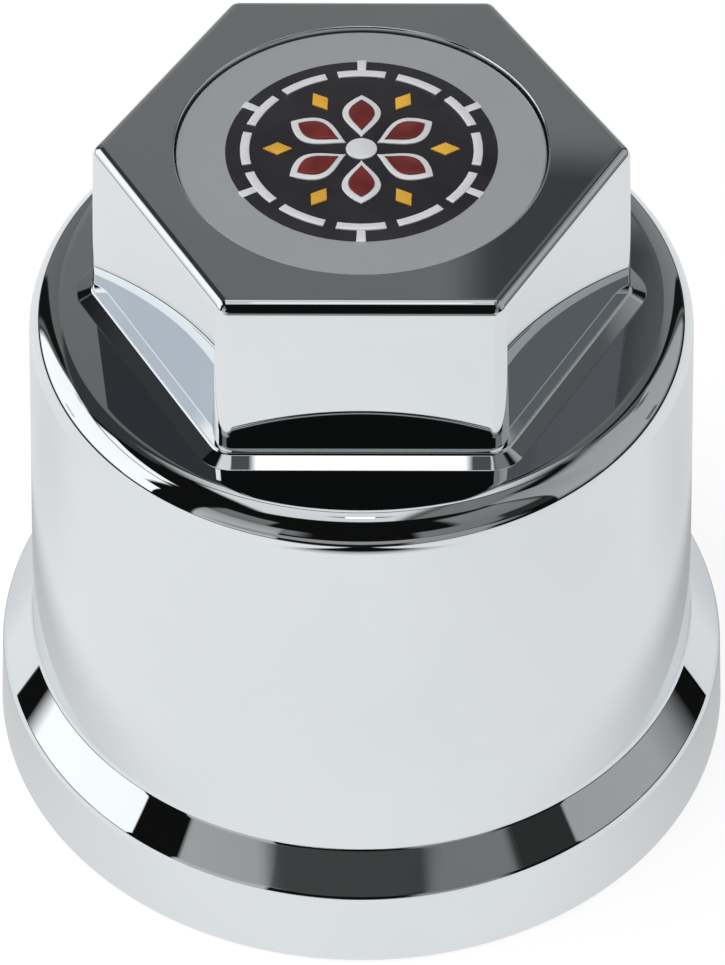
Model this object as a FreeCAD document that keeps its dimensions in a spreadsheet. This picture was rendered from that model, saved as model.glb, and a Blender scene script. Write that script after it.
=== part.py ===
# Lug nut cap: a chrome-plated moulded cover for a truck wheel nut, with a badge disc set in its crown.
# Millimetres, +Z up. The origin is the centre of the flange's base, and a flat of the head faces -Y.
import FreeCAD, Part
import Sketcher
import math
import os

OUTPUT_FOLDER = "parts"
SIDES = 6
FULL_TURN = 360
STEP = FULL_TURN / SIDES
TOLERANCE = 1e-4

# Driving dimensions: name, value in millimetres or degrees, and what it measures.
DIMENSIONS = [
    ("nut_across_flats", 33.0, "wheel nut that the ribs grip"),
    ("nut_clearance", 0.1, "rib tip to nut flat"),
    ("corner_clearance", 0.94, "skirt's bore to nut corner, at the ceiling"),
    ("plate_overhang", 3.95, "pressure plate under the nut, past the nut's corners"),
    ("plate_clearance", 1.0, "counterbore wall to pressure plate"),
    ("flange_wall", 2.0, "flange wall at the base"),
    ("band_height", 5.8, "upright band of the flange"),
    ("band_draft", 4.0, "draft of the band, degrees"),
    ("counterbore_depth", 4.6, "room for the pressure plate"),
    ("throat_height", 7.6, "where the skirt's bore begins"),
    ("skirt_foot_height", 8.9, "where the skirt meets the flange's slope"),
    ("skirt_draft", 2.7, "draft of the skirt, degrees"),
    ("shoulder_height", 38.2, "flat shoulder under the head"),
    ("wall", 2.0, "skirt, shoulder and head walls"),
    ("head_setback", 3.94, "skirt's outer line in to the head's corners, at the shoulder"),
    ("head_height", 12.6, "shoulder to crown"),
    ("head_draft", 2.8, "draft of the head, degrees"),
    ("corner_radius", 1.5, "rounding of the head's corners at its foot"),
    ("flare_width", 1.05, "sloped foot of the head, in plan"),
    ("flare_height", 0.45, "sloped foot of the head, upright"),
    ("crown_wall", 3.0, "thickness over the head's hollow"),
    ("hollow_corner_radius", 1.2, "corners of the head's hollow"),
    ("crown_rounding", 0.8, "edge of the crown"),
    ("rim_rounding", 2.4, "edge of the shoulder"),
    ("flange_rounding", 0.5, "edge between slope and band"),
    ("neck_rounding", 0.8, "inside corner between skirt and slope"),
    ("base_chamfer", 0.3, "outer edge of the base"),
    ("badge_margin", 2.2, "flat of the crown between its rounding and the recess"),
    ("badge_thickness", 0.8, "badge disc"),
    ("badge_clearance", 0.12, "recess wall to disc"),
    ("badge_inset", 0.3, "crown down to the disc's face"),
    ("badge_rounding", 0.15, "edge of the disc's face"),
    ("rib_width", 1.6, "grip rib"),
    ("rib_spread", 11.0, "between the two ribs of a flat"),
    ("rib_foot_height", 9.4, "lower end of a rib"),
    ("lead_in_depth", 1.2, "rib tip's lead-in, across"),
    ("lead_in_height", 3.0, "rib tip's lead-in, upright"),
]

document = FreeCAD.newDocument("lug_nut_cap")
sheet = document.addObject("Spreadsheet::Sheet", "Sizes")
for row, (alias, value, note) in enumerate(DIMENSIONS, start=1):
    sheet.set(f"A{row}", alias)
    sheet.set(f"B{row}", str(value))
    sheet.set(f"C{row}", note)
    sheet.setAlias(f"B{row}", alias)
document.recompute()


def cell(alias):
    """The expression that reads one driving dimension."""
    return f"Sizes.{alias}"


# Radii and heights that follow from the driving dimensions.
HALF_STEP = f"{STEP / 2}"
NUT_CORNER_RADIUS = f"({cell('nut_across_flats')} / 2 / cos({HALF_STEP}))"
COUNTERBORE_RADIUS = f"({NUT_CORNER_RADIUS} + {cell('plate_overhang')} + {cell('plate_clearance')})"
BASE_RADIUS = f"({COUNTERBORE_RADIUS} + {cell('flange_wall')})"
CEILING_HEIGHT = f"({cell('shoulder_height')} - {cell('wall')})"
CEILING_RADIUS = f"({NUT_CORNER_RADIUS} + {cell('corner_clearance')})"
HEAD_FOOT_HEIGHT = f"({cell('shoulder_height')} + {cell('flare_height')})"
HEAD_RISE = f"({cell('head_height')} - {cell('flare_height')})"
CROWN_HEIGHT = f"({cell('shoulder_height')} + {cell('head_height')})"
RECESS_DEPTH = f"({cell('badge_thickness')} + {cell('badge_inset')})"
RIB_TIP = f"({cell('nut_across_flats')} / 2 + {cell('nut_clearance')})"
RIB_TOP_HEIGHT = f"({cell('shoulder_height')} - {cell('wall')} / 2)"


def band_radius(height):
    """Outer radius of the flange's drafted band at a height, as an expression."""
    return f"({BASE_RADIUS} - {height} * tan({cell('band_draft')}))"


def bore_radius(height):
    """Inner radius of the drafted skirt at a height, as an expression."""
    return f"({CEILING_RADIUS} + ({CEILING_HEIGHT} - {height}) * tan({cell('skirt_draft')}))"


def skirt_radius(height):
    """Outer radius of the drafted skirt at a height, as an expression."""
    return f"({bore_radius(height)} + {cell('wall')})"


RIM_RADIUS = skirt_radius(cell("shoulder_height"))
HEAD_APOTHEM = f"(({RIM_RADIUS} - {cell('head_setback')}) * cos({HALF_STEP}))"
CROWN_APOTHEM = f"({HEAD_APOTHEM} - {HEAD_RISE} * tan({cell('head_draft')}) - {cell('crown_rounding')})"
RECESS_RADIUS = f"({CROWN_APOTHEM} - {cell('badge_margin')})"


def rib_root(height):
    """How far out a rib runs to end in the middle of the skirt's wall, as an expression."""
    middle = f"({skirt_radius(height)} - {cell('wall')} / 2)"
    return f"sqrt(pow({middle}; 2) - pow({cell('rib_spread')} / 2; 2))"


def evaluate(expression):
    """The present value of an expression, as a plain number."""
    value = sheet.evalExpression(expression)
    return float(getattr(value, "Value", value))


def new_body(name):
    """A body with a label of its own."""
    body = document.addObject("PartDesign::Body", name)
    body.Label = name
    return body


def origin_feature(body, role):
    """One of the body's own origin planes or axes."""
    return next(item for item in body.Origin.OriginFeatures if item.Role == role)


def new_sketch(body, name, role, offset=None):
    """A sketch on an origin plane, moved along the plane's normal by an expression."""
    sketch = body.newObject("Sketcher::SketchObject", name)
    sketch.AttachmentSupport = (origin_feature(body, role), "")
    sketch.MapMode = "FlatFace"
    if offset is not None:
        sketch.setExpression("AttachmentOffset.Base.z", offset)
    return sketch


def drive(sketch, constraint, name, expression):
    """Add a dimension to a sketch and bind it to the sheet."""
    index = sketch.addConstraint(constraint)
    sketch.renameConstraint(index, name)
    sketch.setExpression(f"Constraints.{name}", expression)


def outline_sketch(body, name, role, corners, offset=None):
    """A closed outline of straight lines. Each corner is a pair of expressions, or None for zero."""
    sketch = new_sketch(body, name, role, offset)
    places = [FreeCAD.Vector(*[evaluate(part) if part else 0.0 for part in corner]) for corner in corners]
    for start, end in zip(places, places[1:] + places[:1]):
        sketch.addGeometry(Part.LineSegment(start, end), False)
    count = len(corners)
    for index, (across, up) in enumerate(corners):
        previous = (index - 1) % count
        sketch.addConstraint(Sketcher.Constraint("Coincident", previous, 2, index, 1))
        if across:
            distance = Sketcher.Constraint("DistanceX", -1, 1, index, 1, places[index].x)
            drive(sketch, distance, f"across_{index}", across)
        else:
            sketch.addConstraint(Sketcher.Constraint("PointOnObject", index, 1, -2))
        if up:
            distance = Sketcher.Constraint("DistanceY", -1, 1, index, 1, places[index].y)
            drive(sketch, distance, f"up_{index}", up)
        else:
            sketch.addConstraint(Sketcher.Constraint("PointOnObject", index, 1, -1))
    return sketch


def circle_sketch(body, name, offset, radius):
    """A circle about the cap's axis, at a height."""
    sketch = new_sketch(body, name, "XY_Plane", offset)
    size = evaluate(radius)
    sketch.addGeometry(Part.Circle(FreeCAD.Vector(), FreeCAD.Vector(0, 0, 1), size), False)
    sketch.addConstraint(Sketcher.Constraint("Coincident", 0, 3, -1, 1))
    drive(sketch, Sketcher.Constraint("Radius", 0, size), "radius", radius)
    return sketch


def hexagon_sketch(body, name, offset, apothem, rounding):
    """A hexagon about the cap's axis with rounded corners and one side facing -Y."""
    sketch = new_sketch(body, name, "XY_Plane", offset)
    inner, radius = evaluate(apothem), evaluate(rounding)
    half_side = (inner - radius) * math.tan(math.radians(STEP / 2))
    centre_distance = (inner - radius) / math.cos(math.radians(STEP / 2))
    first = -90.0
    for side in range(SIDES):
        facing = math.radians(first + STEP * side)
        outward = FreeCAD.Vector(math.cos(facing), math.sin(facing), 0)
        along = FreeCAD.Vector(-outward.y, outward.x, 0)
        middle = outward * inner
        sketch.addGeometry(Part.LineSegment(middle - along * half_side, middle + along * half_side), False)
    for corner in range(SIDES):
        begin = math.radians(first + STEP * corner)
        bisector = begin + math.radians(STEP / 2)
        centre = FreeCAD.Vector(math.cos(bisector), math.sin(bisector), 0) * centre_distance
        circle = Part.Circle(centre, FreeCAD.Vector(0, 0, 1), radius)
        sketch.addGeometry(Part.ArcOfCircle(circle, begin, begin + math.radians(STEP)), False)
    for side in range(SIDES):
        arc = SIDES + side
        sketch.addConstraint(Sketcher.Constraint("Tangent", side, 2, arc, 1))
        sketch.addConstraint(Sketcher.Constraint("Tangent", arc, 2, (side + 1) % SIDES, 1))
        drive(sketch, Sketcher.Constraint("Distance", -1, 1, side, inner), f"apothem_{side}", apothem)
        drive(sketch, Sketcher.Constraint("Radius", arc, radius), f"rounding_{side}", rounding)
        if side:
            heading = math.remainder(math.radians(STEP * side), 2 * math.pi)
            sketch.addConstraint(Sketcher.Constraint("Angle", side, heading))
        else:
            sketch.addConstraint(Sketcher.Constraint("Horizontal", side))
    return sketch


def turn_about_axis(body, kind, name, sketch):
    """Revolve a section about the cap's axis, to add or to cut."""
    feature = body.newObject(f"PartDesign::{kind}", name)
    feature.Profile = sketch
    feature.ReferenceAxis = (origin_feature(body, "Z_Axis"), [""])
    feature.Angle = FULL_TURN
    document.recompute()
    return feature


def extrude(body, kind, name, sketch, length, taper=None, reverse=False, middle=False):
    """Pad or pocket a sketch by bound sizes."""
    feature = body.newObject(f"PartDesign::{kind}", name)
    feature.Profile = sketch
    feature.Reversed = reverse
    feature.Midplane = middle
    feature.setExpression("Length", length)
    if taper is not None:
        feature.setExpression("TaperAngle", taper)
    document.recompute()
    return feature


def round_edges(body, name, size, picks):
    """Round the edges of the body's last feature that a test picks."""
    base = body.Tip
    feature = body.newObject("PartDesign::Fillet", name)
    names = [f"Edge{index}" for index, edge in enumerate(base.Shape.Edges, start=1) if picks(edge)]
    feature.Base = (base, names)
    feature.setExpression("Radius", size)
    document.recompute()
    return feature


def on_ring(radius, height):
    """A test for the circular edge about the axis with this radius, at this height."""
    level = at_height(height)
    wanted = evaluate(radius)
    return lambda edge: level(edge) and abs(edge.BoundBox.XMax - wanted) < TOLERANCE


def at_height(height):
    """A test for the edges that lie wholly at one height."""
    wanted = evaluate(height)

    def test(edge):
        box = edge.BoundBox
        return abs(box.ZMax - wanted) < TOLERANCE and abs(box.ZMin - wanted) < TOLERANCE

    return test


def build_cap_shell():
    """The moulding: flange, skirt and shoulder turned about the axis, head, hollow and grip ribs."""
    body = new_body("cap_shell")
    neck_radius = skirt_radius(cell("skirt_foot_height"))
    outside = outline_sketch(body, "outside_section", "XZ_Plane", [
        (None, None),
        (f"{BASE_RADIUS} - {cell('base_chamfer')}", None),
        (band_radius(cell("base_chamfer")), cell("base_chamfer")),
        (band_radius(cell("band_height")), cell("band_height")),
        (neck_radius, cell("skirt_foot_height")),
        (RIM_RADIUS, cell("shoulder_height")),
        (None, cell("shoulder_height")),
    ])
    turn_about_axis(body, "Revolution", "outside", outside)
    rim = on_ring(RIM_RADIUS, cell("shoulder_height"))
    neck = on_ring(neck_radius, cell("skirt_foot_height"))
    flange_edge = on_ring(band_radius(cell("band_height")), cell("band_height"))
    round_edges(body, "rim_round", cell("rim_rounding"), rim)
    round_edges(body, "neck_round", cell("neck_rounding"), neck)
    round_edges(body, "flange_round", cell("flange_rounding"), flange_edge)

    flare_apothem = f"{HEAD_APOTHEM} + {cell('flare_width')}"
    flare_corner = f"{cell('corner_radius')} + {cell('flare_width')}"
    flare_slope = f"-atan({cell('flare_width')} / {cell('flare_height')})"
    flare = hexagon_sketch(body, "flare_outline", cell("shoulder_height"), flare_apothem, flare_corner)
    extrude(body, "Pad", "flare", flare, cell("flare_height"), taper=flare_slope)
    head = hexagon_sketch(body, "head_outline", HEAD_FOOT_HEIGHT, HEAD_APOTHEM, cell("corner_radius"))
    extrude(body, "Pad", "head", head, HEAD_RISE, taper=f"-{cell('head_draft')}")
    round_edges(body, "crown_round", cell("crown_rounding"), at_height(CROWN_HEIGHT))
    recess = circle_sketch(body, "recess_outline", CROWN_HEIGHT, RECESS_RADIUS)
    extrude(body, "Pocket", "badge_recess", recess, RECESS_DEPTH)

    inside = outline_sketch(body, "inside_section", "XZ_Plane", [
        (None, None),
        (COUNTERBORE_RADIUS, None),
        (COUNTERBORE_RADIUS, cell("counterbore_depth")),
        (bore_radius(cell("throat_height")), cell("throat_height")),
        (bore_radius(CEILING_HEIGHT), CEILING_HEIGHT),
        (None, CEILING_HEIGHT),
    ])
    turn_about_axis(body, "Groove", "inside", inside)
    hollow_apothem = f"{HEAD_APOTHEM} - {cell('wall')}"
    hollow_rise = f"{cell('wall')} + {cell('head_height')} - {cell('crown_wall')}"
    hollow_corner = cell("hollow_corner_radius")
    hollow = hexagon_sketch(body, "hollow_outline", CEILING_HEIGHT, hollow_apothem, hollow_corner)
    narrowing = f"-{cell('head_draft')}"
    extrude(body, "Pocket", "head_hollow", hollow, hollow_rise, taper=narrowing, reverse=True)
    add_grip_ribs(body)
    return body


def add_grip_ribs(body):
    """Two axial ribs for each flat of the nut, with lead-in ends, repeated about the axis."""
    foot = cell("rib_foot_height")
    section = [
        (rib_root(foot), foot),
        (f"{RIB_TIP} + {cell('lead_in_depth')}", foot),
        (RIB_TIP, f"{foot} + {cell('lead_in_height')}"),
        (RIB_TIP, RIB_TOP_HEIGHT),
        (rib_root(RIB_TOP_HEIGHT), RIB_TOP_HEIGHT),
    ]
    ribs = []
    for name, sign in (("left", "-"), ("right", "")):
        place = f"{sign}{cell('rib_spread')} / 2"
        sketch = outline_sketch(body, f"{name}_rib_section", "YZ_Plane", section, place)
        ribs.append(extrude(body, "Pad", f"{name}_rib", sketch, cell("rib_width"), middle=True))
    pattern = body.newObject("PartDesign::PolarPattern", "grip_ribs")
    pattern.Originals = ribs
    pattern.Axis = (origin_feature(body, "Z_Axis"), [""])
    pattern.Angle = FULL_TURN
    pattern.Occurrences = SIDES
    body.Tip = pattern
    document.recompute()


def build_badge_disc():
    """The thin disc that lies on the floor of the crown's recess."""
    body = new_body("badge_disc")
    floor_height = f"{CROWN_HEIGHT} - {RECESS_DEPTH}"
    radius = f"{RECESS_RADIUS} - {cell('badge_clearance')}"
    outline = circle_sketch(body, "disc_outline", floor_height, radius)
    extrude(body, "Pad", "disc", outline, cell("badge_thickness"))
    face_height = f"{CROWN_HEIGHT} - {cell('badge_inset')}"
    round_edges(body, "disc_round", cell("badge_rounding"), at_height(face_height))
    return body


def check_document():
    """Stop if any object of the document failed to build."""
    for item in document.Objects:
        if "Invalid" in item.State or "Error" in item.State:
            raise RuntimeError(f"{item.Label} failed to build: {item.State}")


def export(bodies):
    """Write each sound body to a file that has its label as a name."""
    for body in bodies:
        shape = body.Shape
        if shape.isNull() or not shape.isValid() or len(shape.Solids) != 1:
            raise RuntimeError(f"{body.Label} is not one sound solid")
        print(f"{body.Label}: volume {shape.Volume:.1f} mm3, box {shape.BoundBox}")
    os.makedirs(OUTPUT_FOLDER, exist_ok=True)
    for body in bodies:
        body.Shape.exportStep(os.path.join(OUTPUT_FOLDER, f"{body.Label}.step"))


sub_parts = [build_cap_shell(), build_badge_disc()]
document.recompute()
check_document()
export(sub_parts)
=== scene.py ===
"""Lug nut cap: the looks of a chrome-plated wheel nut cover with a badge disc in its crown.

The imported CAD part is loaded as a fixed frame, in metres, with +Z up and the flange's base at z = 0.
"""
import logging
import math
from dataclasses import dataclass
from enum import Enum
from typing import Any, Callable, Sequence

import bmesh
import bpy
from bpy.types import ID, Material, Mesh, Node, NodeSocket, NodeTree, Object, World
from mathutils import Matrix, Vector


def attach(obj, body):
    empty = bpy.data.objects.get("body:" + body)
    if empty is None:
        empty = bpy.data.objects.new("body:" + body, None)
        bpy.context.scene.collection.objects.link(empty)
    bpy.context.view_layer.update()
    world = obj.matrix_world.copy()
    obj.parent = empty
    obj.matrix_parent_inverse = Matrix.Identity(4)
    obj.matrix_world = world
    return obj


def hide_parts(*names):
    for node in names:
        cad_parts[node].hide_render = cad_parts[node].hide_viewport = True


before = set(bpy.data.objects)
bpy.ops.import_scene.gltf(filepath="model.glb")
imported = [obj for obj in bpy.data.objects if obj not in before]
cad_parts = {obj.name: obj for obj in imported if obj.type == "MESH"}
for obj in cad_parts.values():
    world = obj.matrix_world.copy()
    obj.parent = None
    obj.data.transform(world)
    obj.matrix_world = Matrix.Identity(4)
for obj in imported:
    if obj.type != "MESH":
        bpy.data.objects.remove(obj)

LOG = logging.getLogger("lug_nut_cap")

MM = 0.001
SIDES = 6
STEP = math.tau / SIDES
HALF_STEP = STEP / 2
FRONT = -math.pi / 2
IMAGE_SIZE = (725, 965)
CARD_FACES = (24, 16)

TOUCH = 1e-6
SHARP_PRINT_EDGE = math.radians(50)
SHARP_RIB_EDGE = math.radians(35)
EDGE_BEND = 0.3

Point = tuple[float, float]
Place = tuple[float, float, float]
Colour = tuple[float, float, float]
Inputs = dict[str | int, Any]

WHITE: Colour = (1.0, 1.0, 1.0)
BLUE_GREY: Colour = (0.93, 0.97, 1.06)
COOL_GREY: Colour = (0.96, 0.99, 1.05)
DEEP_GREY: Colour = (0.94, 0.99, 1.08)


class Slot(Enum):
    """The record's material slots."""

    CHROME = "mirror_chrome"
    BADGE = "satin_badge"


class Side(Enum):
    """Which side of the moulding a strip of skin is on, as its place in the piece's list of materials."""

    OUTSIDE = 0
    INSIDE = 1


class Signal:
    """A shader value. An expression on it adds Math nodes to its tree."""

    def __init__(self, painter: "Painter", socket: NodeSocket) -> None:
        """Wraps one output socket."""
        self.painter = painter
        self.socket = socket

    def math(self, operation: str, *operands: Any) -> "Signal":
        """The result of one Math node, from its operation and its inputs in order."""
        node = self.painter.node("ShaderNodeMath", dict(enumerate(operands)), operation=operation)
        return Signal(self.painter, node.outputs[0])

    def __add__(self, other: Any) -> "Signal":
        """This value plus another."""
        return self.math("ADD", self, other)

    def __mul__(self, other: Any) -> "Signal":
        """This value times another."""
        return self.math("MULTIPLY", self, other)

    def __sub__(self, other: Any) -> "Signal":
        """This value less another."""
        return self.math("SUBTRACT", self, other)

    def __rsub__(self, other: Any) -> "Signal":
        """Another value less this one."""
        return self.math("SUBTRACT", other, self)

    def root(self) -> "Signal":
        """The square root of this value."""
        return self.math("SQRT", self)

    def between(self, low: float, high: float) -> "Signal":
        """A smooth step from 0 at a low value to 1 at a high one."""
        node = self.painter.node(
            "ShaderNodeMapRange", {0: self, 1: low, 2: high}, interpolation_type="SMOOTHSTEP",
        )
        return Signal(self.painter, node.outputs[0])


class Painter:
    """Builds one node tree, of a material, of the world or of Geometry Nodes."""

    def __init__(self, owner: Material | World | NodeTree) -> None:
        """Empties the owner's tree.

        Args:
            owner: The material or the world, or a tree that stands on its own.
        """
        self.owner = self.tree = owner
        if not isinstance(owner, NodeTree):
            owner.use_nodes = True
            self.tree = owner.node_tree
        self.tree.nodes.clear()

    def node(self, kind: str, inputs: Inputs | None = None, **settings: Any) -> Node:
        """Adds one node.

        Args:
            kind: The node's type.
            inputs: The value or link of each socket, by name or number.
            settings: Its properties, set first.

        Returns:
            The node.
        """
        node = self.tree.nodes.new(kind)
        for key, value in settings.items():
            setattr(node, key, value)
        for key, value in (inputs or {}).items():
            source = value.socket if isinstance(value, Signal) else value
            if isinstance(source, NodeSocket):
                self.tree.links.new(source, node.inputs[key])
            else:
                node.inputs[key].default_value = source
        return node

    def place(self) -> NodeSocket:
        """The point's own place on the piece, in metres."""
        return self.node("ShaderNodeTexCoord").outputs["Object"]

    def axes(self) -> list[Signal]:
        """The point's own place along X, Y and Z, in metres."""
        split = self.node("ShaderNodeSeparateXYZ", {0: self.place()})
        return [Signal(self, output) for output in split.outputs]

    def attribute(self, name: str) -> Signal:
        """A value that the mesh carries at each point."""
        return Signal(self, self.node("ShaderNodeAttribute", attribute_name=name).outputs["Fac"])

    def ray_is(self, kind: str) -> Signal:
        """1 where the ray is of a kind, such as Camera, and 0 elsewhere."""
        return Signal(self, self.node("ShaderNodeLightPath").outputs[f"Is {kind} Ray"])

    def noise(self, size: float, detail: float) -> Signal:
        """A cloudy value about 0.5, from its clouds' width in metres and how much finer noise they carry."""
        values = {"Vector": self.place(), "Scale": 1.0 / size, "Detail": detail}
        return Signal(self, self.node("ShaderNodeTexNoise", values).outputs[0])

    def blend(self, share: Signal, first: Colour, second: Colour) -> NodeSocket:
        """A mix of two colours, where a share of 0 gives the first and 1 the second."""
        values = {0: share, 6: (*first, 1.0), 7: (*second, 1.0)}
        return self.node("ShaderNodeMix", values, data_type="RGBA").outputs[2]

    def bump(self, height: Signal, depth: float, strength: float) -> NodeSocket:
        """A normal bent by a height of about 0 to 1, which stands for a depth in metres."""
        values = {"Strength": strength, "Distance": depth, "Height": height}
        return self.node("ShaderNodeBump", values).outputs[0]

    def surface(self, inputs: Inputs, kind: str = "ShaderNodeBsdfPrincipled") -> Material:
        """Makes one shader node the material's surface, and gives the material."""
        self.node("ShaderNodeOutputMaterial", {"Surface": self.node(kind, inputs).outputs[0]})
        return self.owner


@dataclass(frozen=True)
class MirrorChrome:
    """Bright plating on moulded plastic: a clear mirror, with faint haze from handling on its lower part."""

    name: str = "bright_plating"
    tint: Colour = (0.795, 0.830, 0.850)
    haze_tint: Colour = (0.770, 0.806, 0.828)
    haze: float = 0.02
    haze_heights: Point = (25 * MM, 33 * MM)
    cloud_size: float = 14 * MM
    cloud_range: Point = (0.4, 0.75)

    def paint(self) -> Material:
        """The finish as a material."""
        painter = Painter(bpy.data.materials.new(self.name))
        height = painter.axes()[2]
        clouds = painter.noise(self.cloud_size, detail=3.0).between(*self.cloud_range)
        handled = clouds * (1 - height.between(*self.haze_heights))
        return painter.surface({
            "Base Color": painter.blend(clouds, self.tint, self.haze_tint),
            "Metallic": 1.0,
            "Roughness": handled * self.haze,
        })


@dataclass(frozen=True)
class ThinPlating:
    """The dull, thinly plated skin inside the moulding."""

    name: str = "thin_plating"
    tint: Colour = (0.52, 0.53, 0.54)
    bare_tint: Colour = (0.20, 0.20, 0.21)
    roughness: float = 0.28
    patch_size: float = 11 * MM
    patch_range: Point = (0.45, 0.8)
    patch_dulling: float = 0.6
    patch_roughness: float = 0.2
    grain_size: float = 0.5 * MM
    grain_depth: float = 0.01 * MM
    grain_roughness: float = 0.08
    grain_strength: float = 0.35

    def paint(self) -> Material:
        """The finish as a material."""
        painter = Painter(bpy.data.materials.new(self.name))
        patches = painter.noise(self.patch_size, detail=4.0).between(*self.patch_range)
        grain = painter.noise(self.grain_size, detail=2.0)
        return painter.surface({
            "Base Color": painter.blend(patches, self.tint, self.bare_tint),
            "Metallic": 1.0 - patches * self.patch_dulling,
            "Roughness": patches * self.patch_roughness + grain * self.grain_roughness + self.roughness,
            "Normal": painter.bump(grain, self.grain_depth, self.grain_strength),
        })


@dataclass(frozen=True)
class SatinMetal:
    """Metal with a fine, even blasted grain."""

    name: str
    tint: Colour
    shade: Colour
    roughness: float
    metal: float
    grain_size: float = 0.09 * MM
    grain_depth: float = 0.004 * MM
    grain_strength: float = 0.5
    grain_share: float = 0.4
    grain_roughness: float = 0.12
    cloud_size: float = 5 * MM
    cloud_share: float = 0.6
    cloud_roughness: float = 0.06

    def paint(self) -> Material:
        """The finish as a material."""
        painter = Painter(bpy.data.materials.new(self.name))
        grain = painter.noise(self.grain_size, detail=2.0)
        clouds = painter.noise(self.cloud_size, detail=3.0)
        mottle = clouds * self.cloud_share + grain * self.grain_share
        smoothest = self.roughness - (self.grain_roughness + self.cloud_roughness) / 2
        return painter.surface({
            "Base Color": painter.blend(mottle, self.tint, self.shade),
            "Metallic": self.metal,
            "Roughness": grain * self.grain_roughness + clouds * self.cloud_roughness + smoothest,
            "Normal": painter.bump(grain, self.grain_depth, self.grain_strength),
        })


@dataclass(frozen=True)
class Enamel:
    """Baked colour with a faint orange-peel skin and a clear lacquer."""

    name: str
    colour: Colour
    deep: Colour
    roughness: float
    lacquer: float = 0.0
    lacquer_roughness: float = 0.2
    cloud_size: float = 2.5 * MM
    cloud_range: Point = (0.35, 0.7)
    cloud_roughness: float = 0.12
    peel_size: float = 0.22 * MM
    peel_depth: float = 0.006 * MM
    peel_strength: float = 0.3

    def paint(self) -> Material:
        """The finish as a material."""
        painter = Painter(bpy.data.materials.new(self.name))
        clouds = painter.noise(self.cloud_size, detail=3.0)
        peel = painter.noise(self.peel_size, detail=1.0)
        return painter.surface({
            "Base Color": painter.blend(clouds.between(*self.cloud_range), self.colour, self.deep),
            "Roughness": clouds * self.cloud_roughness + (self.roughness - self.cloud_roughness / 2),
            "Coat Weight": self.lacquer,
            "Coat Roughness": self.lacquer_roughness,
            "Normal": painter.bump(peel, self.peel_depth, self.peel_strength),
        })


@dataclass(frozen=True)
class PaintedFloorShade:
    """Painted shade on the floor as the chrome shows it: the light taken off, with the distances over which
    it sets in, in metres.
    """

    loss: float
    reach: Point
    away: Point = (0.0, 0.0)


@dataclass(frozen=True)
class StudioFloor:
    """A pale floor that keeps the cap's shadow. The camera sees it as white, and the chrome as nearly white.

    In the chrome it carries painted shade: dimmer to the right and far away, with a painted shadow of the cap
    on the floor at its back and close to the flange's sides.
    """

    name: str = "studio_floor"
    tint: Colour = (0.90, 0.905, 0.91)
    cloud_tint: Colour = (0.88, 0.885, 0.89)
    cloud_size: float = 0.3
    seen_share: float = 0.88
    mirrored_share: float = 0.9
    brightness: float = 1.02
    mirror_loss: float = 0.135
    # Painted shade on the floor in the chrome: dimmer to the right and far away, with a painted shadow of the
    # cap at its back and a painted contact shadow round the flange's sides.
    right: PaintedFloorShade = PaintedFloorShade(0.055, (0.0, 0.04))
    painted_back_shadow: PaintedFloorShade = PaintedFloorShade(0.15, (0.04, 0.075), (-0.005, 0.02))
    painted_contact_shadow: PaintedFloorShade = PaintedFloorShade(0.30, (0.031, 0.037), (-0.03, 0.005))
    far: PaintedFloorShade = PaintedFloorShade(0.87, (0.6, 0.9))

    def paint(self) -> Material:
        """The floor as a material."""
        painter = Painter(bpy.data.materials.new(self.name))
        clouds = painter.noise(self.cloud_size, detail=2.0)
        matt = painter.node("ShaderNodeBsdfDiffuse", {
            "Color": painter.blend(clouds, self.tint, self.cloud_tint),
        })
        across, away, _ = painter.axes()
        reach = (across * across + away * away).root()
        # Painted shade and painted shadow, taken off the floor's light in the chrome only.
        painted_shade = across.between(*self.right.reach) * self.right.loss
        for near in (self.painted_back_shadow, self.painted_contact_shadow):
            painted_shade = painted_shade + away.between(*near.away) * (1 - reach.between(*near.reach)) * near.loss
        painted_shade = painted_shade + reach.between(*self.far.reach) * self.far.loss
        direct, mirrored = painter.ray_is("Camera"), painter.ray_is("Glossy")
        white = painter.node("ShaderNodeEmission", {
            "Strength": self.brightness - mirrored * (painted_shade + self.mirror_loss),
        })
        return painter.surface({
            0: direct * self.seen_share + mirrored * self.mirrored_share,
            1: matt.outputs[0],
            2: white.outputs[0],
        }, "ShaderNodeMixShader")


def new_object(name: str, data: ID) -> Object:
    """Puts an object in the scene.

    Args:
        name: Its name.
        data: Its mesh, light or camera, which takes the same name.

    Returns:
        The object, at the origin.
    """
    data.name = name
    made = bpy.data.objects.new(name, data)
    bpy.context.scene.collection.objects.link(made)
    return made


def declare(piece: Object, node: str) -> None:
    """Attaches a finished piece to the root body and hides the CAD node that it stands for.

    Args:
        piece: The piece.
        node: The CAD node that it stands for.
    """
    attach(piece, "root")
    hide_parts(node)
    LOG.info("%s: %d faces", piece.name, len(piece.data.polygons))


@dataclass(frozen=True)
class Corner:
    """A corner of a skin's section: its reach from the axis, its height, and its rounding, 0 at a pole only.

    With a core, the skin's outline there is a hexagon with rounded corners, whose corner arcs are centred on
    a sharp hexagon with that apothem. Without one, the outline is a circle.
    """

    reach: float
    height: float
    rounding: float = 0.0
    core: float | None = None


@dataclass(frozen=True)
class Station:
    """A ring of a skin, with the angle by which the skin there faces up."""

    reach: float
    height: float
    core: float | None
    tilt: float


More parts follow.
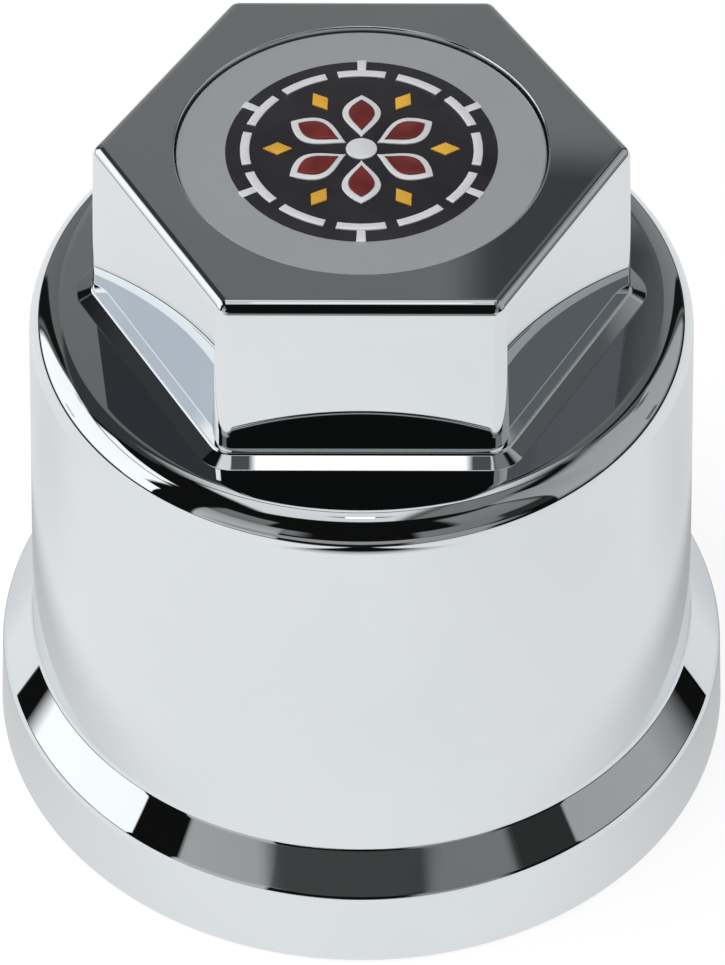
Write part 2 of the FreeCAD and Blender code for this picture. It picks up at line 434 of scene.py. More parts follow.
@dataclass
class Skin:
    """A closed shell swept round the axis from a section that runs from pole to pole, with exact normals."""

    corners: Sequence[Corner]
    reference_reach: float = 15.55 * MM
    reference_core: float = 14.05 * MM
    side_columns: int = 32
    corner_columns: int = 12
    arc_steps: int = 10

    def mesh(self, side_of: Callable[[float, float], Side] = lambda *_: Side.OUTSIDE) -> Mesh:
        """Builds the shell.

        Args:
            side_of: Says which side a strip is on, from its middle's reach and height.

        Returns:
            The mesh, with smooth faces and its own normals.
        """
        stations = self._stations()
        rings = [self._ring(station) for station in stations]
        count = len(rings[0])
        spots: list[Vector] = []
        for station, ring in zip(stations, rings):
            spots += [place + Vector((0, 0, station.height)) for place, _ in ring]
        vertices = spots[count - 1:len(spots) - count + 1]
        faces: list[tuple[int, ...]] = []
        normals: list[Vector] = []
        slots: list[int] = []

        def corner(row: int, column: int) -> tuple[int, Vector]:
            """The vertex at a ring's column, where a pole's columns all share one, and its normal there."""
            vertex = min(max(row * count + column - count + 1, 0), len(vertices) - 1)
            tilt = stations[row].tilt
            normal = rings[row][column][1] * math.cos(tilt) + Vector((0, 0, math.sin(tilt)))
            return vertex, normal.normalized()

        for row, (near, far) in enumerate(zip(stations, stations[1:])):
            slot = side_of((near.reach + far.reach) / 2, (near.height + far.height) / 2).value
            for column in range(count):
                other = (column + 1) % count
                ends = ((row, column), (row + 1, column), (row + 1, other), (row, other))
                face = dict(corner(*end) for end in ends)
                faces.append(tuple(face))
                normals += face.values()
                slots.append(slot)
        mesh = bpy.data.meshes.new("skin")
        mesh.from_pydata(vertices, [], faces)
        mesh.polygons.foreach_set("use_smooth", [True] * len(faces))
        mesh.polygons.foreach_set("material_index", slots)
        mesh.normals_split_custom_set(normals)
        mesh.update()
        return mesh

    def _stations(self) -> list[Station]:
        """The section's rings from pole to pole, with each rounded corner turned into a row of them."""
        stations: list[Station] = []
        for before, corner, after in zip(self.corners, self.corners[1:], self.corners[2:]):
            arriving = Vector((corner.reach - before.reach, corner.height - before.height)).normalized()
            leaving = Vector((after.reach - corner.reach, after.height - corner.height)).normalized()
            heading = math.atan2(arriving.y, arriving.x)
            turn = math.remainder(math.atan2(leaving.y, leaving.x) - heading, math.tau)
            setback = corner.rounding * math.tan(abs(turn) / 2)
            start = Vector((corner.reach, corner.height)) - arriving * setback
            hand = math.copysign(1.0, turn)
            centre = start + Vector((-arriving.y, arriving.x)) * corner.rounding * hand
            for step in range(self.arc_steps + 1):
                course = heading + turn * step / self.arc_steps
                spot = centre + Vector((math.sin(course), -math.cos(course))) * corner.rounding * hand
                stations.append(Station(spot.x, spot.y, corner.core, course + math.pi / 2))
        return [
            Station(0, self.corners[0].height, None, stations[0].tilt), *stations,
            Station(0, self.corners[-1].height, None, stations[-1].tilt),
        ]

    def _ring(self, station: Station) -> list[tuple[Vector, Vector]]:
        """The places of a ring's columns, at height 0, and the way that each faces."""
        if station.core is not None:
            return self._hexagon(station.reach, station.core)
        ring = []
        for place, _ in self._hexagon(self.reference_reach, self.reference_core):
            outward = place.normalized()
            ring.append((outward * station.reach, outward))
        return ring

    def _hexagon(self, reach: float, core: float) -> list[tuple[Vector, Vector]]:
        """A hexagon with rounded corners, one flat facing the front.

        Args:
            reach: Its apothem.
            core: The apothem of the sharp hexagon on which its corner arcs are centred.

        Returns:
            The place of each column, at height 0, and the way it faces.
        """
        ring = []
        half_side = core * math.tan(HALF_STEP)
        for side in range(SIDES):
            facing = FRONT + STEP * side
            outward = Vector((math.cos(facing), math.sin(facing), 0))
            along = Vector((-outward.y, outward.x, 0))
            for column in range(self.side_columns):
                run = half_side * (2 * column / self.side_columns - 1)
                ring.append((outward * reach + along * run, outward))
            middle = facing + HALF_STEP
            centre = Vector((math.cos(middle), math.sin(middle), 0)) * core / math.cos(HALF_STEP)
            for column in range(self.corner_columns):
                heading = facing + STEP * column / self.corner_columns
                bent = Vector((math.cos(heading), math.sin(heading), 0))
                ring.append((centre + bent * (reach - core), bent))
        return ring


class CopyRing:
    """Geometry Nodes that set copies of one shape round the axis."""

    def __init__(self) -> None:
        """Builds the tree once."""
        self.tree = bpy.data.node_groups.new("copy_ring", "GeometryNodeTree")
        inputs = {"Shape": "Geometry", "Copies": "Int", "Radius": "Float", "First Angle": "Float",
                  "Finish": "Material"}
        for name, kind in inputs.items():
            self.tree.interface.new_socket(name, in_out="INPUT", socket_type=f"NodeSocket{kind}")
        self.tree.interface.new_socket("Ring", in_out="OUTPUT", socket_type="NodeSocketGeometry")
        maker = Painter(self.tree)
        given = maker.node("NodeGroupInput").outputs
        reach = maker.node("ShaderNodeCombineXYZ", {"X": given["Radius"]})
        moved = maker.node("GeometryNodeTransform", {
            "Geometry": given["Shape"], "Translation": reach.outputs[0],
        })
        points = maker.node("GeometryNodePoints", {"Count": given["Copies"]})
        index = Signal(maker, maker.node("GeometryNodeInputIndex").outputs[0])
        share = index.math("DIVIDE", index, given["Copies"])
        turn = share.math("MULTIPLY_ADD", share, math.tau, given["First Angle"])
        euler = maker.node("ShaderNodeCombineXYZ", {"Z": turn})
        rotation = maker.node("FunctionNodeEulerToRotation", {"Euler": euler.outputs[0]})
        copies = maker.node("GeometryNodeInstanceOnPoints", {
            "Points": points.outputs[0], "Instance": moved.outputs[0], "Rotation": rotation.outputs[0],
        })
        real = maker.node("GeometryNodeRealizeInstances", {"Geometry": copies.outputs[0]})
        dressed = maker.node("GeometryNodeSetMaterial", {
            "Geometry": real.outputs[0], "Material": given["Finish"],
        })
        maker.node("NodeGroupOutput", {"Ring": dressed.outputs[0]})

    def spread(self, name: str, shape: Mesh, finish: Material, copies: int,
               radius: float = 0.0, first_angle: float = 0.0) -> Object:
        """Makes a ring of copies as one plain mesh.

        Args:
            name: The piece's name.
            shape: The shape, pointing along +X.
            finish: Its material.
            copies: How many there are.
            radius: How far out the shape is moved.
            first_angle: Where the first copy points.

        Returns:
            The piece.
        """
        piece = new_object(name, shape)
        modifier = piece.modifiers.new("copies", "NODES")
        modifier.node_group = self.tree
        values = {"Copies": copies, "Radius": radius, "First Angle": first_angle, "Finish": finish}
        for item in self.tree.interface.items_tree:
            if item.name in values:
                modifier[item.identifier] = values[item.name]
        graph = bpy.context.evaluated_depsgraph_get()
        mesh = bpy.data.meshes.new_from_object(piece.evaluated_get(graph), depsgraph=graph)
        piece.modifiers.clear()
        piece.data = mesh
        mesh.name = name
        return piece


def raised_shape(outline: Sequence[Point], foot: float, rise: float, edge: float) -> Mesh:
    """A flat shape raised from a face, with a softened upper edge.

    Args:
        outline: Its plan, anticlockwise.
        foot: The height it stands on.
        rise: Its own height.
        edge: Width of the softened edge.

    Returns:
        The closed mesh.
    """
    count = len(outline)
    points = [Vector(point) for point in outline]
    inward = []
    for before, here, after in zip([points[-1], *points], points, [*points[1:], points[0]]):
        run = (after - here).normalized() + (here - before).normalized()
        inward.append(Vector((-run.y, run.x)).normalized())
    top, bend = foot + rise, edge * EDGE_BEND
    layers = [(0.0, foot), (0.0, top - edge), (bend, top - bend), (edge, top)]
    vertices = []
    for inset, height in layers:
        vertices += [(*(point + way * inset), height) for point, way in zip(points, inward)]
    faces: list[Sequence[int]] = [list(reversed(range(count)))]
    for layer in range(len(layers) - 1):
        for spot in range(count):
            other = (spot + 1) % count
            low, high = layer * count, (layer + 1) * count
            faces.append((low + spot, low + other, high + other, high + spot))
    faces.append([(len(layers) - 1) * count + spot for spot in range(count)])
    mesh = bpy.data.meshes.new("raised_shape")
    mesh.from_pydata(vertices, [], faces)
    mesh.polygons.foreach_set("use_smooth", [True] * len(faces))
    mesh.set_sharp_from_angle(angle=SHARP_PRINT_EDGE)
    mesh.update()
    return mesh


def ring_bar(inner: float, outer: float, spread: float, steps: int = 10) -> list[Point]:
    """The plan of a bar bent round the axis.

    Args:
        inner: Its inner radius.
        outer: Its outer radius.
        spread: The angle that it spans, about +X.
        steps: How many straight runs make each of its arcs.

    Returns:
        Its outline, anticlockwise.
    """
    angles = [spread * (step / steps - 0.5) for step in range(steps + 1)]
    outline = [(outer * math.cos(angle), outer * math.sin(angle)) for angle in angles]
    outline += [(inner * math.cos(angle), inner * math.sin(angle)) for angle in reversed(angles)]
    return outline


def leaf(start: float, length: float, width: float, steps: int = 14) -> list[Point]:
    """The plan of a leaf that points along +X, fullest beyond its middle.

    Args:
        start: Where its stem end is.
        length: Its length.
        width: Its greatest width.
        steps: How many runs make each side.

    Returns:
        Its outline, anticlockwise.
    """
    lean, fullness = 1.25, 0.9

    def half(share: float) -> float:
        """Half the width, at a share of the length."""
        return width / 2 * math.sin(math.pi * share ** lean) ** fullness

    shares = [step / steps for step in range(steps + 1)]
    lower = [(start + length * share, -half(share)) for share in shares]
    upper = [(start + length * share, half(share)) for share in reversed(shares[1:-1])]
    return lower + upper


def round_plan(radius: float, steps: int = 144) -> list[Point]:
    """The plan of a disc."""
    angles = [math.tau * step / steps for step in range(steps)]
    return [(radius * math.cos(angle), radius * math.sin(angle)) for angle in angles]


@dataclass
class CapShell:
    """The chrome moulding: flange, skirt, shoulder and hexagon head, hollow from below."""

    base_radius: float = 26.0026 * MM
    counterbore_radius: float = 24.0026 * MM
    counterbore_depth: float = 4.6 * MM
    band_height: float = 6.2 * MM
    band_draft: float = math.radians(4.0)
    base_chamfer: float = 0.3 * MM
    throat_height: float = 7.6 * MM
    skirt_foot_height: float = 8.9 * MM
    skirt_draft: float = math.radians(2.7)
    ceiling_radius: float = 19.9926 * MM
    shoulder_height: float = 38.2 * MM
    wall: float = 2.0 * MM
    head_apothem: float = 15.5523 * MM
    head_height: float = 12.6 * MM
    head_draft: float = math.radians(2.8)
    corner_radius: float = 1.5 * MM
    flare_width: float = 1.05 * MM
    flare_height: float = 0.45 * MM
    crown_wall: float = 3.0 * MM
    hollow_corner_radius: float = 1.2 * MM
    recess_radius: float = 11.9581 * MM
    recess_depth: float = 1.1 * MM
    crown_rounding: float = 0.8 * MM
    rim_rounding: float = 2.4 * MM
    neck_rounding: float = 0.9 * MM
    flange_rounding: float = 1.2 * MM
    soft_edge: float = 0.12 * MM
    outside: MirrorChrome = MirrorChrome()
    inside: ThinPlating = ThinPlating()

    @property
    def ceiling_height(self) -> float:
        """Height of the flat under the shoulder."""
        return self.shoulder_height - self.wall

    @property
    def crown_height(self) -> float:
        """Height of the crown."""
        return self.shoulder_height + self.head_height

    def bore_radius(self, height: float) -> float:
        """Inner radius of the skirt at a height."""
        return self.ceiling_radius + (self.ceiling_height - height) * math.tan(self.skirt_draft)

    def skirt_radius(self, height: float) -> float:
        """Outer radius of the skirt at a height."""
        return self.bore_radius(height) + self.wall

    def band_radius(self, height: float) -> float:
        """Outer radius of the flange's band at a height."""
        return self.base_radius - height * math.tan(self.band_draft)

    def section(self) -> list[Corner]:
        """The section's corners, from the recess's floor over the outside and up the inside."""
        core = self.head_apothem - self.corner_radius
        foot = self.shoulder_height + self.flare_height
        crown_apothem = self.head_apothem - (self.crown_height - foot) * math.tan(self.head_draft)
        floor = self.crown_height - self.recess_depth
        hollow = self.head_apothem - self.wall
        hollow_core = hollow - self.hollow_corner_radius
        hollow_top = self.crown_height - self.crown_wall
        hollow_end = hollow - (hollow_top - self.ceiling_height) * math.tan(self.head_draft)
        fine = self.soft_edge
        return [
            Corner(0, floor),
            Corner(self.recess_radius, floor, fine),
            Corner(self.recess_radius, self.crown_height, fine),
            Corner(crown_apothem, self.crown_height, self.crown_rounding, core),
            Corner(self.head_apothem, foot, 2 * fine, core),
            Corner(self.head_apothem + self.flare_width, self.shoulder_height, 2 * fine, core),
            Corner(self.skirt_radius(self.shoulder_height), self.shoulder_height, self.rim_rounding),
            Corner(self.skirt_radius(self.skirt_foot_height), self.skirt_foot_height, self.neck_rounding),
            Corner(self.band_radius(self.band_height), self.band_height, self.flange_rounding),
            Corner(self.band_radius(self.base_chamfer), self.base_chamfer, fine),
            Corner(self.base_radius - self.base_chamfer, 0, fine / 2),
            Corner(self.counterbore_radius, 0, fine),
            Corner(self.counterbore_radius, self.counterbore_depth, fine),
            Corner(self.bore_radius(self.throat_height), self.throat_height, fine),
            Corner(self.ceiling_radius, self.ceiling_height, 4 * fine),
            Corner(hollow, self.ceiling_height, fine, hollow_core),
            Corner(hollow_end, hollow_top, 2 * fine, hollow_core),
            Corner(0, hollow_top),
        ]

    def side_of(self, reach: float, height: float) -> Side:
        """Which side of the wall a strip of skin is on.

        Args:
            reach: The strip's distance from the axis.
            height: Its height.

        Returns:
            The outside, or the inside.
        """
        if height < self.shoulder_height - self.wall / 2:
            within = self.bore_radius(height) + self.wall / 2
            if height < self.counterbore_depth:
                within = (self.counterbore_radius + self.band_radius(height)) / 2
            elif height < self.skirt_foot_height:
                within = self.counterbore_radius - (height - self.counterbore_depth) / 2
            return Side.INSIDE if reach < within and height > 0 else Side.OUTSIDE
        below_crown = height <= self.crown_height - self.crown_wall + TOUCH
        within_head = reach < self.head_apothem - self.wall / 2
        return Side.INSIDE if below_crown and within_head else Side.OUTSIDE

    def build(self) -> Object:
        """The moulding's skin as a piece."""
        return new_object("cap_shell_skin", Skin(self.section()).mesh(self.side_of))

    def dress(self, piece: Object) -> None:
        """Gives the skin its plating, outside and inside."""
        piece.data.materials.append(self.outside.paint())
        piece.data.materials.append(self.inside.paint())
        declare(piece, "cap_shell")


@dataclass
class GripRibs:
    """Upright ribs inside the skirt, two to each flat of the nut, with a lead-in at their feet."""

    shell: CapShell
    tip_reach: float = 16.6 * MM
    width: float = 1.6 * MM
    spread: float = 11.0 * MM
    foot_height: float = 9.4 * MM
    lead_in_depth: float = 1.2 * MM
    lead_in_height: float = 3.0 * MM
    soft_edge: float = 0.18 * MM
    edge_steps: int = 3
    finish: ThinPlating = ThinPlating("rib_plating", roughness=0.3)

    def build(self, rings: CopyRing) -> Object:
        """The ribs as one piece, set round the axis."""
        return rings.spread("grip_ribs", self._pair(), self.finish.paint(), SIDES, first_angle=FRONT)

    def dress(self, piece: Object) -> None:
        declare(piece, "cap_shell")

    def _pair(self) -> Mesh:
        """The two ribs of one flat, which faces +X."""
        top = self.shell.shoulder_height - self.shell.wall / 2
        outline = [
            (self._root(self.foot_height), self.foot_height),
            (self._root(top), top),
            (self.tip_reach, top),
            (self.tip_reach, self.foot_height + self.lead_in_height),
            (self.tip_reach + self.lead_in_depth, self.foot_height),
        ]
        pair = bmesh.new()
        for middle in (-self.spread / 2, self.spread / 2):
            near = [pair.verts.new((reach, middle - self.width / 2, height)) for reach, height in outline]
            far = [pair.verts.new((reach, middle + self.width / 2, height)) for reach, height in outline]
            pair.faces.new(near)
            pair.faces.new(list(reversed(far)))
            for spot in range(len(outline)):
                other = (spot + 1) % len(outline)
                pair.faces.new((near[other], near[spot], far[spot], far[other]))
        bmesh.ops.recalc_face_normals(pair, faces=pair.faces)
        bmesh.ops.bevel(pair, geom=list(pair.edges), offset=self.soft_edge, segments=self.edge_steps,
                        profile=0.5, affect="EDGES")
        mesh = bpy.data.meshes.new("rib_pair")
        pair.to_mesh(mesh)
        pair.free()
        mesh.polygons.foreach_set("use_smooth", [True] * len(mesh.polygons))
        mesh.set_sharp_from_angle(angle=SHARP_RIB_EDGE)
        return mesh

    def _root(self, height: float) -> float:
        """How far out a rib runs, to end in the middle of the skirt's wall."""
        middle = self.shell.skirt_radius(height) - self.shell.wall / 2
        return math.sqrt(middle ** 2 - (self.spread / 2) ** 2)


@dataclass
class BadgeDisc:
    """The satin disc that lies in the crown's recess."""

    shell: CapShell
    clearance: float = 0.12 * MM
    thickness: float = 0.8 * MM
    rounding: float = 0.15 * MM
    finish: SatinMetal = SatinMetal("satin_badge", (0.515, 0.535, 0.56), (0.46, 0.48, 0.505), 0.42, 0.6)

    @property
    def radius(self) -> float:
        """The disc's radius."""
        return self.shell.recess_radius - self.clearance

    @property
    def face_height(self) -> float:
        """Height of the disc's face."""
        return self.shell.crown_height - self.shell.recess_depth + self.thickness

    def build(self) -> Object:
        """The disc as a piece."""
        foot = self.face_height - self.thickness
        skin = Skin([
            Corner(0, self.face_height),
            Corner(self.radius, self.face_height, self.rounding),
            Corner(self.radius, foot, self.rounding / 3),
            Corner(0, foot),
        ])
        return new_object("badge_face", skin.mesh())

    def dress(self, piece: Object) -> None:
        """Gives the disc its satin finish."""
        piece.data.materials.append(self.finish.paint())
        declare(piece, "badge_disc")


@dataclass
class BadgeOrnament:
    """A plain rosette on the badge: a dark enamel field, broken silver ring, gold lozenges and red petals."""

    disc: BadgeDisc
    field_radius: float = 8.7 * MM
    field_rise: float = 0.05 * MM
    field_edge: float = 0.03 * MM
    ring_inner: float = 7.15 * MM
    ring_outer: float = 7.75 * MM
    bars: int = 12
    bar_share: float = 0.80
    bridges: int = 6
    bridge_spread: float = math.radians(4.0)
    bridge_overlap: float = 0.1 * MM
    bridge_steps: int = 4
    lozenge_reach: float = 5.35 * MM
    lozenge_half: Point = (0.95 * MM, 0.6 * MM)
    petals: int = SIDES
    petal_start: float = 1.15 * MM
    petal_length: float = 4.1 * MM
    petal_width: float = 2.5 * MM
    petal_border: float = 0.34 * MM
    petal_end_borders: float = 1.6
    petal_side_borders: float = 1.2
    boss_radius: float = 1.0 * MM
    boss_steps: int = 48
    rise: float = 0.1 * MM
    edge: float = 0.05 * MM
    dark: Enamel = Enamel("charcoal_enamel", (0.017, 0.0155, 0.019), (0.012, 0.011, 0.014), 0.38)
    silver: SatinMetal = SatinMetal("bright_silver", (0.86, 0.87, 0.89), (0.76, 0.77, 0.79), 0.34, 0.45)
    gold: Enamel = Enamel("gold_enamel", (0.62, 0.34, 0.035), (0.50, 0.26, 0.022), 0.36, 0.3)
    red: Enamel = Enamel("red_enamel", (0.150, 0.016, 0.014), (0.085, 0.010, 0.009), 0.36, 0.3)

    def build(self, rings: CopyRing) -> list[Object]:
        """The ornament's pieces, from the field up.

        Args:
            rings: The tree that sets copies round the axis.

        Returns:
            The pieces.
        """
        face = self.disc.face_height
        top = face + self.field_rise
        silver, red = self.silver.paint(), self.red.paint()
        plan = round_plan(self.field_radius)
        field_piece = new_object("badge_field", raised_shape(plan, face, self.field_rise, self.field_edge))
        field_piece.data.materials.append(self.dark.paint())
        bar = ring_bar(self.ring_inner, self.ring_outer, math.tau / self.bars * self.bar_share)
        bridge_end = self.field_radius + self.bridge_overlap
        bridge = ring_bar(self.ring_outer, bridge_end, self.bridge_spread, self.bridge_steps)
        length, width = self.lozenge_half
        lozenge = [(-length, 0), (0, -width), (length, 0), (0, width)]
        petal = leaf(self.petal_start, self.petal_length, self.petal_width)
        end, side = self.petal_end_borders * self.petal_border, self.petal_side_borders * self.petal_border
        inner_petal = leaf(self.petal_start + end, self.petal_length - 2 * end, self.petal_width - 2 * side)
        turn = FRONT + HALF_STEP
        rows = (
            ("badge_bars", bar, top, silver, self.bars, 0.0, FRONT),
            ("badge_bridges", bridge, face, silver, self.bridges, 0.0, FRONT + STEP),
            ("badge_lozenges", lozenge, top, self.gold.paint(), self.petals, self.lozenge_reach, turn),
            ("badge_petal_edges", petal, top, silver, self.petals, 0.0, FRONT),
            ("badge_petals", inner_petal, top + self.rise, red, self.petals, 0.0, FRONT),
        )
        pieces = [rings.spread(name, self._raised(plan, foot), *ring) for name, plan, foot, *ring in rows]
        boss = new_object("badge_boss", self._raised(round_plan(self.boss_radius, self.boss_steps), top))
        boss.data.materials.append(silver)
        return [field_piece, *pieces, boss]

    def dress(self, pieces: Sequence[Object]) -> None:
        for piece in pieces:
            declare(piece, "badge_disc")

    def _raised(self, outline: Sequence[Point], foot: float) -> Mesh:
        """An outline raised by the ornament's usual height."""
        return raised_shape(outline, foot, self.rise, self.edge)


def soft_step(share: float, edge: float) -> float:
    """How far a card has faded in, at a share of its width, where each soft edge takes up a share too."""
    ramp = min(1.0, min(share, 1.0 - share) / edge)
    return ramp * ramp * (3 - 2 * ramp)


@dataclass(frozen=True)
class Card:
    """A flat card of light or shade, hidden from the camera, given by two opposite corners, in metres.

    Its light changes from low at its foot to high at its top, and fades out at its soft edges.
    """

    name: str
    near_corner: Sequence[float]
    far_corner: Sequence[float]
    low: float
    high: float
    soft_sides: float
    soft_ends: float
    tint: Colour = WHITE

    def spot(self, across: float, up: float) -> Place:
        """The place at a share of the card's width, along X, and of its height, along Y and Z."""
        rows = zip(self.near_corner, self.far_corner, (across, up, up))
        return tuple(low + (high - low) * share for low, high, share in rows)

    def paint(self) -> Material:
        """The card's light as a material."""
        painter = Painter(bpy.data.materials.new(self.name))
        light = painter.node("ShaderNodeEmission", {
            "Color": (*self.tint, 1.0),
            "Strength": painter.attribute("rise") * (self.high - self.low) + self.low,
        })
        clear = painter.node("ShaderNodeBsdfTransparent")
        return painter.surface({
            0: painter.attribute("fade"), 1: clear.outputs[0], 2: light.outputs[0],
        }, "ShaderNodeMixShader")

    def build(self) -> None:
        """Adds the card to the stage."""
        columns, rows = CARD_FACES
        spots = [(column / columns, row / rows) for row in range(rows + 1) for column in range(columns + 1)]
        pitch = columns + 1
        starts = [row * pitch + column for row in range(rows) for column in range(columns)]
        mesh = bpy.data.meshes.new(self.name)
        mesh.from_pydata([self.spot(*spot) for spot in spots], [], [
            (start, start + 1, start + pitch + 1, start + pitch) for start in starts
        ])
        rise = mesh.attributes.new("rise", "FLOAT", "POINT")
        rise.data.foreach_set("value", [up for _, up in spots])
        fade = mesh.attributes.new("fade", "FLOAT", "POINT")
        fade.data.foreach_set("value", [
            soft_step(across, self.soft_sides) * soft_step(up, self.soft_ends) for across, up in spots
        ])
        mesh.materials.append(self.paint())
        card = new_object(self.name, mesh)
        card.visible_camera = False
        card.visible_shadow = False


@dataclass(frozen=True)
class Panel(Card):
    """A card bent to face the cap.

    Its corners are azimuths from the front, negative to the left, and elevations, in degrees.
    """

    distance: float = 0.9
    centre_height: float = 0.03
    floor_gap: float = 1.5 * MM

    def spot(self, across: float, up: float) -> Place:
        """A place on the card.

        Args:
            across: Its share of the width.
            up: Its share of the height.

        Returns:
            The place, in metres.
        """
        (left, bottom), (right, top) = self.near_corner, self.far_corner
        azimuth = math.radians(left + (right - left) * across)
        elevation = math.radians(bottom + (top - bottom) * up)
        level = self.distance * math.cos(elevation)
        height = max(self.centre_height + self.distance * math.sin(elevation), self.floor_gap)
        return (level * math.sin(azimuth), -level * math.cos(azimuth), height)


@dataclass
class Studio:
    """The floor, the cards that the chrome shows, the world and the camera."""

    eye: Place = (0.5 * MM, -196.2 * MM, 220.8 * MM)
    pitch: float = math.radians(44.94)
    swing: float = math.radians(0.15)
    focal_pixels: float = 4064.0
    optical_centre: Point = (361.3, 432.8)
    sensor: float = 36.0
    clip: Point = (0.01, 20.0)
    floor_half: float = 1.2
    lamp_place: Place = (-0.22, -0.12, 0.75)
    lamp_size: float = 0.5
    lamp_power: float = 6.0
    world_level: float = 0.007

    def build(self) -> None:
        """Sets up the whole stage."""
        self._floor()
        for card in self._cards():
            card.build()
        self._lamp()
        self._world()
        self._camera()
        bpy.context.scene.view_settings.view_transform = "Standard"

    def _floor(self) -> None:
        """The pale floor that the cap stands on."""
        half = self.floor_half
        mesh = bpy.data.meshes.new("floor")
        corners = [(-half, -half, 0), (half, -half, 0), (half, half, 0), (-half, half, 0)]
        mesh.from_pydata(corners, [], [(0, 1, 2, 3)])
        mesh.materials.append(StudioFloor().paint())
        new_object("floor", mesh)

    def _cards(self) -> list[Card]:
        """The soft boxes, panels and flags round the cap."""
        return [
            Card("overhead_main", (-0.0252, -0.07, 0.65), (0.0228, -0.02, 0.65), 1.5, 1.5, 0.02, 0.04),
            Card("overhead_ends", (-0.06, -0.05, 0.653), (0.06, -0.02, 0.653), 0.08, 0.08, 0.2, 0.1),
            Card("overhead_wide", (-0.24, -0.20, 0.656), (0.10, 0.14, 0.656), 0.75, 0.8, 0.12, 0.05),
            Card("overhead_right", (0.08, -0.20, 0.659), (0.30, 0.14, 0.659), 0.20, 0.20, 0.2, 0.05),
            Card("overhead_back", (-0.28, 0.145, 0.65), (0.28, 0.32, 0.65), 0.9, 0.6, 0.30, 0.05),
            Panel("left_panel", (-128, 1.4), (-69, 43), 1.2, 1.15, 0.015, 0.01),
            Panel("left_panel_top", (-112, 42.8), (-72, 50), 1.15, 1.1, 0.1, 0.02),
            Panel("left_panel_shade", (-121.5, 38.5), (-116, 43), 0.72, 0.72, 0.06, 0.04, BLUE_GREY, 0.86),
            Panel("left_panel_line", (-104.5, 8.5), (-99, 13.5), 0.74, 0.74, 0.06, 0.06, BLUE_GREY, 0.86),
            Panel("left_low", (-76, 1.4), (-64.4, 23), 1.2, 1.15, 0.04, 0.04, distance=0.92),
            Panel("front_left_light", (-51.2, -2), (-24, 33), 0.60, 0.32, 0.05, 0.08),
            Panel("front_left_fade", (-30, 18), (-14, 33), 0.20, 0.20, 0.5, 0.1, distance=0.92),
            Panel("front_left_grey", (-51, 31), (-29, 49), 0.16, 0.20, 0.1, 0.12),
            Card("front_strip", (-0.045, -0.045, 0.0388), (0.045, -0.045, 0.0437), 0.32, 0.32, 0.2, 0.15),
            Card("front_low_grey", (-0.035, -0.13, 0.0365), (0.027, -0.04, 0.0365), 0.058, 0.058, 0.15, 0.1),
            Panel("front_right_low", (11, -2), (41, 15), 0.36, 0.20, 0.2, 0.1),
            Panel("front_right_light", (15.5, 14), (45, 33), 0.20, 0.20, 0.12, 0.1),
            Panel("front_right_dark", (44, 12), (60.5, 26), 0.029, 0.029, 0.02, 0.05),
            Panel("front_right_grey", (29, 26), (61, 60), 0.20, 0.24, 0.15, 0.1, distance=0.92),
            Panel("right_panel_front", (60, 1.4), (82, 68), 0.43, 0.30, 0.03, 0.1),
            Panel("right_panel", (76, 1.4), (132, 60), 0.42, 0.38, 0.05, 0.1),
            Panel("right_panel_shade", (116, 38.5), (122, 43.4), 0.145, 0.145, 0.06, 0.04, COOL_GREY, 0.86),
            Panel("right_panel_line", (98.6, 8.4), (104.5, 15), 0.15, 0.15, 0.06, 0.06, COOL_GREY, 0.86),
            Panel("back_right_grey", (121, 43.2), (162, 62), 0.12, 0.12, 0.06, 0.02, COOL_GREY, 0.86),
            Panel("right_step_grey", (120.5, 44.2), (127.2, 49), 0.10, 0.10, 0.04, 0.04, COOL_GREY, 0.84),
            Panel("right_gap", (132.5, -2), (141.5, 60), 0.008, 0.008, 0.15, 0.02, distance=0.83),
            Panel("left_gap", (218.5, -2), (230.5, 43), 0.008, 0.008, 0.15, 0.02, distance=0.83),
            Panel("back_right_panel", (131, -2), (162, 47), 0.26, 0.18, 0.1, 0.1),
            Panel("back_panel", (158, -2), (204, 62), 0.30, 0.11, 0.05, 0.1),
            Panel("back_notch", (172, 41.6), (178.2, 46), 0.05, 0.06, 0.25, 0.2, COOL_GREY, 0.86),
            Panel("back_right_soft", (159, 36), (174, 47.5), 0.105, 0.095, 0.15, 0.1, COOL_GREY, 0.87),
            Panel("back_left_panel", (201, -2), (233, 45), 0.16, 0.14, 0.1, 0.06),
            Panel("back_left_dark", (198, 43.1), (244.5, 62), 0.042, 0.042, 0.02, 0.005, DEEP_GREY, 0.84),
            Card("front_floor_flag", (-0.045, -1.19, 0.001), (0.047, -0.077, 0.001), 0.006, 0.006, 0.16,
                 0.02),
        ]

    def _lamp(self) -> None:
        """A large soft lamp for the matt surfaces; the chrome shows the cards alone."""
        data = bpy.data.lights.new("soft_key", "AREA")
        data.shape = "DISK"
        data.size = self.lamp_size
        data.energy = self.lamp_power
        lamp = new_object("soft_key", data)
        lamp.location = self.lamp_place
        lamp.rotation_euler = (-Vector(self.lamp_place)).to_track_quat("-Z", "Y").to_euler()
        lamp.visible_glossy = False

    def _world(self) -> None:
        """A dim world that the camera sees as white."""
        world = bpy.data.worlds.new("studio_world")
        painter = Painter(world)
        level = painter.ray_is("Camera") * (1 - self.world_level) + self.world_level
        background = painter.node("ShaderNodeBackground", {"Strength": level})
        painter.node("ShaderNodeOutputWorld", {"Surface": background.outputs[0]})
        bpy.context.scene.world = world

    def _camera(self) -> None:
        """The camera at the photograph's place."""
        data = bpy.data.cameras.new("camera")
        data.sensor_fit = "VERTICAL"
        data.sensor_height = self.sensor
        width, height = IMAGE_SIZE
        data.lens = self.focal_pixels / height * self.sensor
        data.shift_x = (width / 2 - self.optical_centre[0]) / height
        data.shift_y = (self.optical_centre[1] - height / 2) / height
        data.clip_start, data.clip_end = self.clip
        camera = new_object("camera", data)
        camera.location = self.eye
        camera.rotation_euler = (math.pi / 2 - self.pitch, 0, self.swing)
        bpy.context.scene.camera = camera


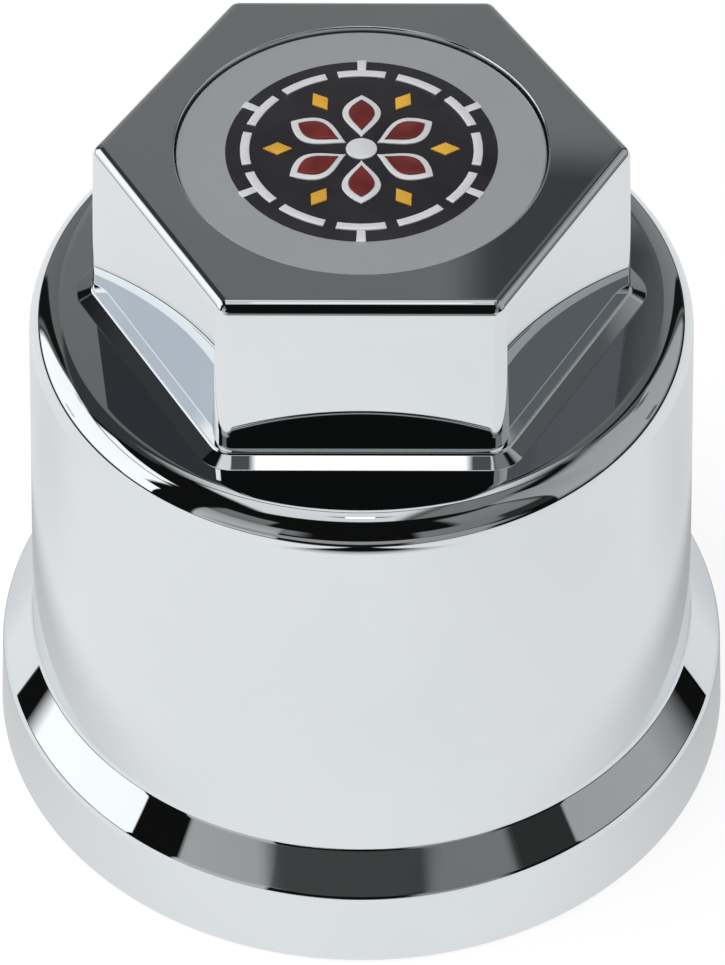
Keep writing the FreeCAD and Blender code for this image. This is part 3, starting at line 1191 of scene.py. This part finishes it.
def main() -> None:
    """Builds the cap and its stage."""
    logging.basicConfig(level=logging.INFO, format="%(name)s: %(message)s")
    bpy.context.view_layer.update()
    rings = CopyRing()
    shell = CapShell()
    shell.dress(shell.build())
    ribs = GripRibs(shell)
    ribs.dress(ribs.build(rings))
    disc = BadgeDisc(shell)
    disc.dress(disc.build())
    ornament = BadgeOrnament(disc)
    ornament.dress(ornament.build(rings))
    Studio().build()


if __name__ == "__main__":
    main()
